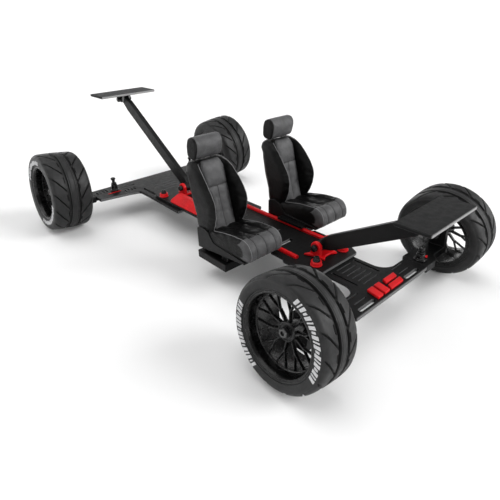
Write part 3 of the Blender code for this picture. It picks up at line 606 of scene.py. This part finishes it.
def body_post(corner):
    """Clamp base and the capped post in it."""
    low, high = box(f"post_base_{corner}")
    base, top = low.z, high.z
    body = f"axle_{corner}" if corner.startswith("front") else "rear_end"
    turned_piece(f"post_base_{corner}", f"post_socket_{corner}", [
        (base, 2.7), (base, 6.1), (base + 0.4, 6.4), (base + 1.3, 6.4), (base + 1.7, 6.0),
        (base + 1.9, 5.0), (base + 2.6, 4.6), (top - 2.4, 4.6), (top - 2.2, 4.2),
        (top - 1.6, 4.2), (top - 1.4, 4.6), (top - 0.5, 4.5), (top, 4.0), (top, 2.7)],
        body, "black_plastic", SATIN)
    low, high = box(f"body_post_{corner}")
    foot, head = low.z, high.z
    turned_piece(f"body_post_{corner}", f"post_stem_{corner}", [
        (foot, 0.0), (foot, 2.3), (top + 0.6, 2.3), (top + 0.7, 3.4), (top + 1.1, 3.8),
        (top + 2.0, 3.8), (top + 2.4, 3.2), (top + 2.6, 2.3), (head - 3.7, 2.3),
        (head - 3.1, 3.1), (head - 2.6, 3.5), (head - 1.1, 3.5), (head - 0.4, 3.0),
        (head, 2.0), (head - 0.3, 0.8), (head - 0.3, 0.0)], f"post_{corner}", "black_plastic",
        SATIN)


def cross_screw(end, kind):
    """Fluted knob at the right-hand end of a cross screw and a domed nut at the left."""
    node = f"{end}_{kind}_screw"
    low, high = box(node)
    knob = low.x
    grip = knob + (6.0 if kind == "platform" else 4.6)
    nut = high.x
    profile = [(knob, 0.0), (knob, 1.1), (knob, 2.5), (knob + 0.5, 3.3), (knob + 1.0, 3.9),
               (grip - 0.6, 4.0), (grip, 3.6), (grip, 2.3), (nut - 3.0, 2.3), (nut - 3.0, 3.6),
               (nut - 2.6, 3.8), (nut - 1.2, 3.8), (nut - 0.3, 2.8), (nut, 1.6), (nut, 0.0)]
    bm = bmesh.new()
    pivot = joint_at(f"{node}_turn")
    add_turned(bm, profile, "X", Vector((0, pivot.y, pivot.z)), 60, 10, 0.5, (4, 5))
    obj = piece(f"{end}_{kind}_thumb_screw", bm, [SATIN], node, 30.0)
    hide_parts(node)


def arm_bracket(end):
    """Clevis with a pointed star foot and two thick arched ears."""
    node = f"{end}_arm_bracket"
    low, high = box(node)
    pivot = joint_at(f"{end}_arm_hinge")
    toward = -1.0 if end == "front" else 1.0
    half = high.x
    base = low.z
    half_outline = [(0.0, -6.5), (0.62 * half, -8.6), (half, -11.5), (0.78 * half, -4.0),
                    (0.66 * half, 1.0), (0.7 * half, 6.5), (10.5, 12.5), (4.0, 8.4)]
    outline = [(u, pivot.y + toward * v) for u, v in half_outline]
    outline += [(-u, v) for u, v in reversed(outline[1:])]
    bm = bmesh.new()
    add_prism(bm, outline, base, base + 2.5)
    radius = high.z - pivot.z
    arch = [(pivot.y - radius, base + 1.0)]
    arch += [(pivot.y - radius * math.cos(turn), pivot.z + radius * math.sin(turn))
             for turn in (math.pi * step / 24 for step in range(25))]
    arch.append((pivot.y + radius, base + 1.0))
    inner = 7.8
    for side in (-1, 1):
        faces = sorted((side * inner, side * (inner + 4.0)))
        add_prism(bm, arch, faces[0], faces[1], "X")
    obj = piece(f"{end}_arm_clevis", bm, [RED], "chassis")
    rounded_edges(obj, 0.6, 3)
    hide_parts(node)
    rings = bmesh.new()
    for side in (-1, 1):
        along = side * (inner + 4.0)
        add_turned(rings, [(along - side * 0.2, 4.3), (along - side * 0.2, 6.1),
                           (along + side * 0.35, 5.9), (along + side * 0.35, 4.6)], "X",
                   Vector((0, pivot.y, pivot.z)), 40)
    piece(f"{end}_clevis_rings", rings, [RED], "chassis")


# Upholstery

SIM_SCALE = 10.0          # the cloth solver works on a seat near full size
SIM_FRAMES = 20


def cover(name, rows, zones, body, capped=True):
    """Closed seat cover from rows of points; returns the object and its grid of vertex indices."""
    bm = bmesh.new()
    add_rows(bm, rows, capped=capped, zones=zones)
    obj = piece(name, bm, [PANEL, HIDE], body, 60.0)
    count = len(rows[0])
    grid = np.arange(len(rows) * count).reshape(len(rows), count)
    return obj, grid


def coordinates(mesh):
    found = np.empty(len(mesh.vertices) * 3)
    mesh.vertices.foreach_get("co", found)
    return found.reshape(-1, 3)


def stuffed(obj, seams, cap, slack):
    """Swell a cover by cloth simulation, held along its seams; no point moves further than cap."""
    scene = bpy.context.scene
    before = coordinates(obj.data)
    obj.data.vertices.foreach_set("co", (before * SIM_SCALE).ravel())
    group = obj.vertex_groups.new(name="seams")
    group.add([int(index) for index in seams], 1.0, "REPLACE")
    cloth = obj.modifiers.new("Cloth", "CLOTH")
    settings = cloth.settings
    settings.quality = 5
    settings.mass = 0.25
    settings.tension_stiffness = 12.0
    settings.compression_stiffness = 12.0
    settings.shear_stiffness = 5.0
    settings.bending_stiffness = 0.35
    settings.use_pressure = True
    settings.uniform_pressure_force = 4.0
    settings.shrink_min = -slack
    settings.vertex_group_mass = "seams"
    settings.effector_weights.gravity = 0.0
    cloth.point_cache.frame_start = 1
    cloth.point_cache.frame_end = SIM_FRAMES
    for number in range(1, SIM_FRAMES + 1):
        scene.frame_set(number)
    graph = bpy.context.evaluated_depsgraph_get()
    after = coordinates(obj.evaluated_get(graph).data) / SIM_SCALE
    obj.modifiers.remove(cloth)
    scene.frame_set(1)
    move = after - before
    far = np.linalg.norm(move, axis=1, keepdims=True)
    move *= np.minimum(1.0, cap * MM / np.maximum(far, 1e-12))
    obj.data.vertices.foreach_set("co", (before + move).ravel())
    obj.vertex_groups.clear()


def creased(obj, amount, size, stretch=(1.0, 1.0, 1.0)):
    """Shallow folds along the surface's normals, as hide takes over foam."""
    mesh = obj.data
    for vertex in mesh.vertices:
        place = Vector([part * pull / (size * MM) for part, pull in zip(vertex.co, stretch)])
        fold = noise.noise(place) + 0.5 * noise.noise(place * 2.3)
        vertex.co += vertex.normal * fold * amount * MM
    mesh.update()


def finish_cover(obj):
    modifier = obj.modifiers.new("Subdivision", "SUBSURF")
    modifier.levels = 1
    modifier.render_levels = 1


def shade_seams(obj, lines):
    """Mark the vertices of the pressed-in seams, which the leather colours with painted shade."""
    values = np.zeros(len(obj.data.vertices))
    for line in lines:
        values[np.ravel(line)] = 1.0
    shade = obj.data.attributes.new("groove", "FLOAT", "POINT")
    shade.data.foreach_set("value", values)


def add_welt(bm, obj, indices, radius, closed=False, lift=0.1):
    """Round welt along a line of a cover's vertices."""
    mesh = obj.data
    path = [(mesh.vertices[int(i)].co + mesh.vertices[int(i)].normal * lift * MM) / MM
            for i in indices]
    add_tube(bm, path, radius, closed=closed)


def backrest(hand):
    """Backrest with a crowned centre panel between two deep bolsters."""
    node = f"seat_back_{hand}"
    low, high = box(node)
    centre = (low.x + high.x) / 2
    foot, top = low.z, high.z
    tall = top - foot
    shift = MID_Y

    def between(z, places, values):
        return float(np.interp((z - foot) / tall, places, values))

    per_span = 4
    levels = [foot + tall * t for t in (0.0, 0.06, 0.12)]
    levels += [foot + tall * (0.12 + 0.8 * step / 34) for step in range(1, 35)]
    levels += [foot + tall * t for t in (0.94, 0.958, 0.974, 0.987, 0.995)]
    rows = []
    for z in levels:
        wide = between(z, (0, 0.24, 0.55, 0.76, 0.9, 0.955, 0.985, 1.0),
                       (22.6, 23.8, 25.4, 25.0, 23.6, 21.8, 19.0, 15.0))
        panel = between(z, (0, 0.24, 0.9, 1.0), (14.2, 14.8, 15.6, 11.5))
        face = -48.0 + (z - 58.0) * 0.27 + shift
        ridge = shift + between(z, (0, 0.22, 0.33, 0.43, 0.54, 0.61, 0.70, 0.81, 0.90, 0.955, 1.0),
                                (-44.0, -51.0, -56.4, -59.6, -60.5, -59.2, -54.4, -46.2, -38.2,
                                 -32.0, -25.0))
        ridge = min(ridge, face - 0.8)
        rear = shift - 28.0 + (z - 38.7) * 0.224
        closing = between(z, (0.9, 0.955, 0.985, 1.0), (0.0, 1.2, 3.4, 7.0))
        face = face + 0.6 * closing
        ridge = ridge + 0.8 * closing
        rear = rear - closing
        deep = face - ridge
        body = rear - ridge
        half = [(0.0, face - 1.5), (0.5 * panel, face - 1.3), (panel - 1.6, face - 0.6),
                (panel, face + 0.7), (panel + 1.5, face - 0.4 * deep),
                (wide - 5.4, face - 0.9 * deep), (wide - 3.0, ridge), (wide - 0.9, ridge + 2.4),
                (wide, ridge + 0.25 * body), (wide, ridge + 0.6 * body), (wide - 0.7, rear - 3.2),
                (wide - 4.5, rear - 0.2), (0.45 * wide, rear + 0.3), (0.0, rear + 0.5)]
        curve = smooth_curve([(u, y, 0) for u, y in half], per_span)
        right = [(centre + point.x, point.y, z) for point in curve]
        left = [(centre - point.x, point.y, z) for point in reversed(curve[1:-1])]
        rows.append(right + left)
    count = len(rows[0])
    seam, edge = 3 * per_span, 6 * per_span
    zones = [0 if step < seam or step >= count - seam else 1 for step in range(count)]
    obj, grid = cover(f"back_cover_{hand}", rows, zones, "chassis")
    cross = min(range(len(levels)), key=lambda i: abs(levels[i] - (foot + 0.715 * tall)))
    across = list(range(-seam, seam + 1))
    held = [grid[:, seam], grid[:, -seam], grid[:, edge], grid[:, -edge], grid[0], grid[-1],
            grid[:8].ravel(), grid[cross, across], grid[:cross, 0]]
    pressed = [(grid[cross, across], 0.8), (grid[7:cross, 0], 0.8)]
    pressed += [(grid[:, column], 0.35) for column in (seam, -seam)]
    for line, depth in pressed:
        for index in line:
            vertex = obj.data.vertices[int(index)]
            vertex.co.y += depth * MM
    stuffed(obj, np.unique(np.concatenate([np.ravel(line) for line in held])), 1.5, 0.02)
    creased(obj, 0.16, 6.5, (1.0, 1.0, 0.6))
    shade_seams(obj, [line for line, _ in pressed])
    finish_cover(obj)
    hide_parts(node)
    welts = bmesh.new()
    for column in (edge, -edge):
        add_welt(welts, obj, grid[6:-2, column], 0.32)
    piece(f"back_piping_{hand}", welts, [PIPING], "chassis")


def seat_cushion(hand):
    """Cushion with raised sides and a rolled front that is sewn into strips."""
    node = f"seat_cushion_{hand}"
    low, high = box(node)
    centre = (low.x + high.x) / 2
    shift = MID_Y
    half_width = (high.x - low.x) / 2 + 1.2
    stations = [step / 20 for step in range(-20, 21)]
    places = [half_width * math.sin(station * math.pi / 2) * 0.35 + half_width * station * 0.65
              for station in stations]
    seams = (-13.5, 0.0, 13.5)
    places += list(seams)
    places = sorted(set(round(place, 3) for place in places))
    places = [place for place in places
              if place in seams or min(abs(place - seam) for seam in seams) > 0.7]
    rows = []
    per_span = 4
    for u in places:
        rise = min(max((abs(u) - 10.0) / 7.0, 0.0), 1.0)
        rise = rise * rise * (3 - 2 * rise)
        edge = max(abs(u) - (half_width - 5.0), 0.0) / 5.0
        inset = 5.0 * (1 - math.sqrt(max(1 - edge * edge, 0.0)))
        profile = [(-41, 40.0), (-41, 56.0), (-47, 59.8 + 1.2 * rise), (-62, 61.0 + 3.6 * rise),
                   (-80, 62.6 + 5.4 * rise), (-94, 65.4 + 3.6 * rise), (-102, 67.8 + 1.6 * rise),
                   (-109, 66.8 + 0.6 * rise), (-114, 61.5), (-115.6, 54.5), (-113.6, 48.6),
                   (-108, 46.3), (-88, 44.4), (-64, 41.9)]
        middle = Vector((-80.0, 54.0))
        ring = []
        for y, z in profile:
            point = Vector((y, z))
            away = point - middle
            shrink = Vector((away.x / 36.0, away.y / 13.0))
            ring.append(point - shrink.normalized() * inset * min(shrink.length, 1.0))
        curve = smooth_curve([(y, z, 0) for y, z in ring], per_span, closed=True)
        rows.append([(centre + u, point.x + shift, point.y) for point in curve])
    count = len(rows[0])
    nose = range(6 * per_span, 11 * per_span)
    zones = [0 if step in nose else 1 for step in range(count)]
    obj, grid = cover(f"cushion_cover_{hand}", rows, zones, "chassis")
    top = np.arange(2 * per_span, 11 * per_span)
    lines = [int(np.argmin([abs(place - seam) for place in places])) for seam in seams]
    edges = [int(np.argmin([abs(place - side * (half_width - 3.4)) for place in places]))
             for side in (-1, 1)]
    crest = 5 * per_span + 1
    inside = np.arange(lines[0], lines[2] + 1)
    held = [grid[line, top] for line in lines + edges] + [grid[inside, crest], grid[:, :per_span]]
    held += [grid[0], grid[-1], grid[:, 11 * per_span:]]
    mesh = obj.data
    for line in lines:
        for index in grid[line, top]:
            vertex = mesh.vertices[int(index)]
            vertex.co -= vertex.normal * 0.75 * MM
    for index in grid[inside, crest]:
        vertex = mesh.vertices[int(index)]
        vertex.co -= vertex.normal * 0.45 * MM
    stuffed(obj, np.unique(np.concatenate([np.ravel(line) for line in held])), 1.6, 0.03)
    creased(obj, 0.2, 5.0)
    shade_seams(obj, [grid[line, top] for line in lines] + [grid[inside, crest]])
    finish_cover(obj)
    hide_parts(node)
    welts = bmesh.new()
    for line in edges:
        add_welt(welts, obj, grid[line, top[2:]], 0.36)
    piece(f"cushion_piping_{hand}", welts, [PIPING], "chassis")


def headrest(hand):
    """Headrest pad with set-in side panels, on two thin posts."""
    node = f"headrest_{hand}"
    low, high = box(node)
    centre = (low.x + high.x) / 2
    half_width = (high.x - low.x) / 2
    pad_low = high.z - 24.4
    front, rear, top = low.y, high.y, high.z
    lean = 2.6
    ring = [(front + lean + 1.2, pad_low + 3.0), (front + lean + 5.0, pad_low + 0.2),
            (rear - 6.0, pad_low), (rear - 1.4, pad_low + 3.0), (rear - 0.4, pad_low + 9.0),
            (rear - 1.6, top - 7.0), (rear - 4.6, top - 1.8), (rear - 10.0, top),
            (front + 4.5, top - 0.8), (front + 0.9, top - 4.6), (front + 0.3, top - 10.0),
            (front + 1.6, pad_low + 8.5)]
    per_span = 4
    middle = Vector(((front + rear) / 2, (pad_low + top) / 2))
    rows = []
    places = [half_width * math.sin(math.pi / 2 * step / 14) for step in range(-14, 15)]
    for u in places:
        edge = max(abs(u) - (half_width - 2.6), 0.0) / 2.6
        inset = 2.4 * (1 - math.sqrt(max(1 - edge * edge, 0.0)))
        section = []
        for y, z in ring:
            away = Vector((y, z)) - middle
            section.append(Vector((y, z)) - away.normalized() * inset)
        curve = smooth_curve([(y, z, 0) for y, z in section], per_span, closed=True)
        rows.append([(centre + u, point.x, point.y) for point in curve])
    obj, grid = cover(f"headrest_cover_{hand}", rows, [0] * len(rows[0]), node)
    seam_places = [int(np.argmin([abs(place - side * (half_width - 1.7)) for place in places]))
                   for side in (-1, 1)]
    for polygon in obj.data.polygons:
        row = polygon.index // len(rows[0])
        if not seam_places[0] <= row < seam_places[1]:
            polygon.material_index = 1
    for line in seam_places:
        for index in grid[line]:
            vertex = obj.data.vertices[int(index)]
            vertex.co -= vertex.normal * 0.35 * MM
    held = np.unique(np.concatenate([grid[line] for line in seam_places + [0, len(places) - 1]]))
    stuffed(obj, held, 1.0, 0.015)
    creased(obj, 0.12, 6.0)
    finish_cover(obj)
    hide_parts(node)
    welts = bmesh.new()
    for line in seam_places:
        add_welt(welts, obj, grid[line], 0.22, closed=True, lift=0.0)
    piece(f"headrest_welt_{hand}", welts, [HIDE], node)
    stems = bmesh.new()
    for side in (-8, 8):
        add_turned(stems, [(low.z, 0.0), (low.z, 1.2), (pad_low + 3.0, 1.2), (pad_low + 3.0, 0.0)],
                   "Z", Vector((centre + side, (front + rear) / 2 + 1.4, 0)), 20)
    piece(f"headrest_stems_{hand}", stems, [STEEL], node)


# Trim

def slanted_bar(x, y, length, depth, slant):
    """Outline of a leaning bar with square ends."""
    return [(x, y), (x + length, y), (x + length + slant, y + depth), (x + slant, y + depth)]


def plate_emblem():
    """Plain raised stripes on the front plate."""
    low, high = box("front_end_plate")
    bm = bmesh.new()
    start = low.y + 3.0
    for x, length, depth in ((-24.0, 8.5, 15.0), (-13.0, 8.5, 15.0), (-2.0, 21.0, 6.0)):
        add_prism(bm, slanted_bar(x, start, length, depth, 3.0), high.z - 0.4, high.z + 2.6)
    add_prism(bm, slanted_bar(2.0, start + 8.6, 19.0, 6.0, 3.0), high.z - 0.4, high.z + 2.6)
    obj = piece("front_plate_stripes", bm, [RED], "front_end")
    rounded_edges(obj, 0.7, 3)


def rail_marks(hand):
    """Two plain raised bars on the sloped face of a rail's block."""
    low, high = box(f"side_rail_{hand}")
    side = 1 if hand == "left" else -1
    outer, inner = 39.6, 30.5
    base, top = low.z + 3.0, high.z
    slope = Vector((side * (inner - outer), 0, top - base))
    normal = Vector((slope.z, 0, -slope.x)).normalized() * side
    bm = bmesh.new()
    for start, width, reach in ((55.0, 22.0, (0.62, 0.74)), (60.0, 22.0, (0.28, 0.4))):
        rows = []
        for lift in (-0.3, 0.4):
            row = []
            for along, share in ((0, reach[0]), (1, reach[0]), (1, reach[1]), (0, reach[1])):
                y = start + width * along + MID_Y - 6 * share
                row.append(Vector((side * outer, y, base)) + slope * share + normal * lift)
            rows.append(row)
        add_rows(bm, rows, capped=True)
    obj = piece(f"rail_bars_{hand}", bm, [RED], "chassis")
    rounded_edges(obj, 0.15, 2)


def axle_flash(corner):
    """Small red wedge on a front axle bar, or red bar on the rear plate, beside a post."""
    post = (box(f"post_base_{corner}")[0] + box(f"post_base_{corner}")[1]) / 2
    side = math.copysign(1.0, post.x)
    front = corner.startswith("front")
    plate = box(f"axle_bar_{corner}" if front else "rear_end_plate")
    top = box("front_end_plate")[1].z if front else plate[1].z
    if front:
        outline = [(post.x + side * 8.0, post.y - 4.0), (post.x + side * 14.0, post.y - 1.5),
                   (post.x + side * 8.0, post.y + 4.0)]
    else:
        outline = [(post.x - side * 6.0, post.y - 8.0), (post.x + side * 14.0, post.y - 8.0),
                   (post.x + side * 15.0, post.y - 6.8), (post.x - side * 5.0, post.y - 6.8)]
    bm = bmesh.new()
    add_prism(bm, outline, top - 0.3, top + 0.5)
    body = f"axle_{corner}" if front else "rear_end"
    piece(f"red_flash_{corner}", bm, [RED], body)


# Carried-over CAD nodes

def dress_frame():
    """Give the CAD nodes that stay their finishes and rounded edges."""
    for name, obj in frame["nodes"].items():
        if obj.hide_render:
            continue
        if "rail" in name:
            finish = RED
        elif "bolt" in name:
            finish = STEEL
        elif "platform" in name:
            finish = DECK
        elif "plate" in name:
            finish = PLATE
        else:
            finish = BLACK
        for slot in obj.material_slots:
            slot.material = finish
        if not obj.material_slots:
            obj.data.materials.append(finish)
        rounded_edges(obj, 0.35, 2, 28.0)


# Stage

def camera():
    """Camera ahead of the right front wheel and above it, facing the far rear corner."""
    data = bpy.data.cameras.new("camera")
    data.lens = 30.6
    data.sensor_width = 36.0
    data.clip_start = 0.01
    obj = bpy.data.objects.new("camera", data)
    turn, rise, roll = (math.radians(angle) for angle in (-41.222, 29.549, -1.618))
    place = (-0.3249, -0.4038, 0.2747)
    back = Vector((math.sin(turn) * math.cos(rise), -math.cos(turn) * math.cos(rise),
                   math.sin(rise)))
    right = Vector((0, 0, 1)).cross(back).normalized()
    up = back.cross(right)
    level = Matrix((right, up, back)).transposed()
    obj.matrix_world = (Matrix.Translation(place)
                        @ (level @ Matrix.Rotation(roll, 3, "Z")).to_4x4())
    bpy.context.scene.collection.objects.link(obj)
    bpy.context.scene.camera = obj


def soft_sun(name, toward, strength, spread):
    """Very soft light that reaches the whole floor evenly, from a direction."""
    data = bpy.data.lights.new(name, "SUN")
    data.energy = strength
    data.angle = math.radians(spread)
    obj = bpy.data.objects.new(name, data)
    obj.rotation_euler = Vector(toward).to_track_quat("Z", "Y").to_euler()
    bpy.context.scene.collection.objects.link(obj)


def stage_piece(name, bm, material):
    mesh = bpy.data.meshes.new(name)
    bm.to_mesh(mesh)
    bm.free()
    mesh.materials.append(material)
    obj = bpy.data.objects.new(name, mesh)
    bpy.context.scene.collection.objects.link(obj)


def studio():
    """White floor with a low white wall far round it, and soft light from the front and above."""
    floor_radius, wall_height = 12.0, 3.6
    wall_radius = 11.9
    finish = Finish("pale_floor", (0.88, 0.88, 0.88), 0.7)
    finish.set(finish.shader, "Base Color",
               finish.blended(finish.noise(80.0), (0.87, 0.87, 0.87), (0.89, 0.89, 0.89)))
    finish.set(finish.shader, "Specular IOR Level", 0.1)
    bm = bmesh.new()
    bmesh.ops.create_circle(bm, cap_ends=True, radius=floor_radius, segments=48)
    stage_piece("floor", bm, finish.material)
    wall = Finish("pale_wall", (0.9, 0.9, 0.9), 0.8)
    wall.set(wall.shader, "Emission Color", (1.0, 1.0, 1.0, 1.0))
    wall.set(wall.shader, "Emission Strength", 0.9)
    bm = bmesh.new()
    bmesh.ops.create_cone(bm, cap_ends=False, radius1=wall_radius, radius2=wall_radius,
                          depth=wall_height, segments=48)
    bmesh.ops.translate(bm, verts=bm.verts, vec=(0, 0, wall_height / 2))
    stage_piece("wall", bm, wall.material)
    world = bpy.data.worlds.new("studio")
    world.use_nodes = True
    sky = world.node_tree.nodes["Background"]
    sky.inputs["Color"].default_value = (1.0, 1.0, 1.0, 1.0)
    sky.inputs["Strength"].default_value = 0.4
    bpy.context.scene.world = world
    soft_sun("overhead", (-0.1, 0.25, 1.0), 1.35, 60.0)
    soft_sun("key", (0.75, -1.0, 0.75), 2.3, 32.0)
    bpy.context.scene.view_settings.view_transform = "Standard"


for corner in CORNERS:
    tyre(corner)
    rim(corner)
    clamp(corner)
    body_post(corner)
    axle_flash(corner)
for end in ("front", "rear"):
    arm_bracket(end)
    for kind in ("arm", "platform"):
        cross_screw(end, kind)
for hand in HANDS:
    backrest(hand)
    seat_cushion(hand)
    headrest(hand)
    rail_marks(hand)
plate_emblem()
dress_frame()
camera()
studio()
